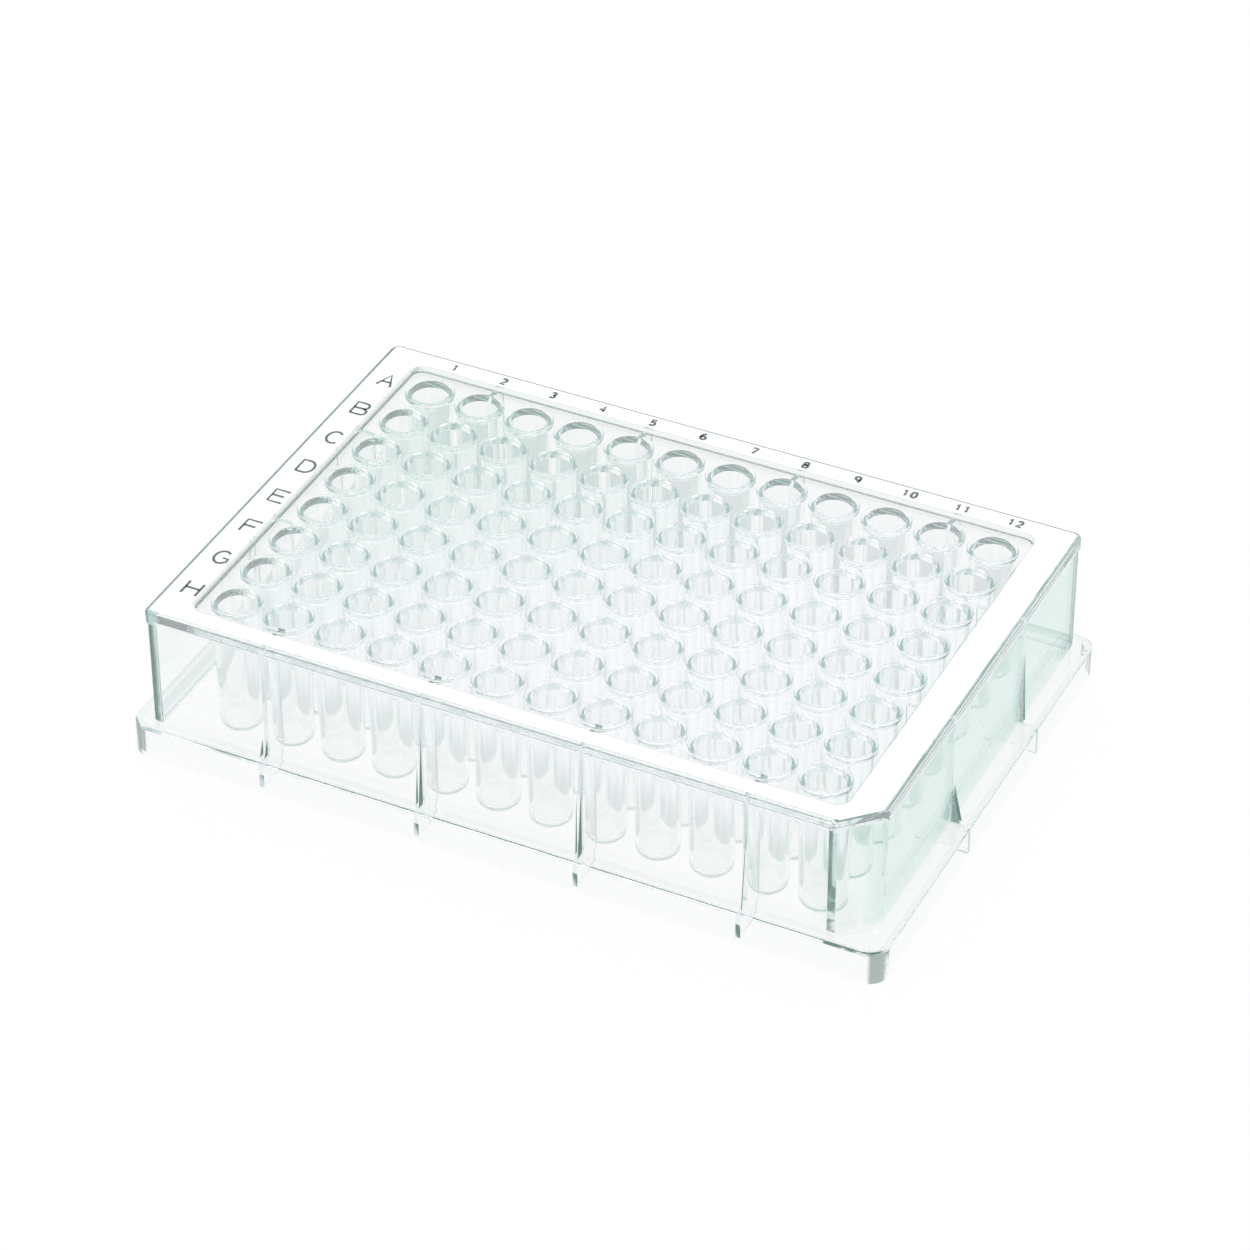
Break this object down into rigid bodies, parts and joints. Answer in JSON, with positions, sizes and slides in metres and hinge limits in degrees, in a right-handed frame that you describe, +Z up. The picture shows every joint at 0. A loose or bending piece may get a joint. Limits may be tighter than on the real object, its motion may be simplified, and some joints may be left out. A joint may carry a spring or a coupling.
{
  "type": "deep well plate",
  "caption": "Clear moulded laboratory plate with a grid of deep collared wells, a printed white border, a stepped foot flange and one cut corner.",
  "frame": {"origin": "centre of the footprint, on the surface that the plate stands on", "axes": "+X along the numbered side, +Y from the last lettered row towards the first, +Z up out of the wells; the cut corner is at +X, -Y"},
  "size_m": [0.1278, 0.0854, 0.0271],
  "materials": {
    "clear_plastic": "clear, gloss"
  },
  "bodies": {
    "root": {"well_plate": "clear_plastic"}
  },
  "joints": []
}
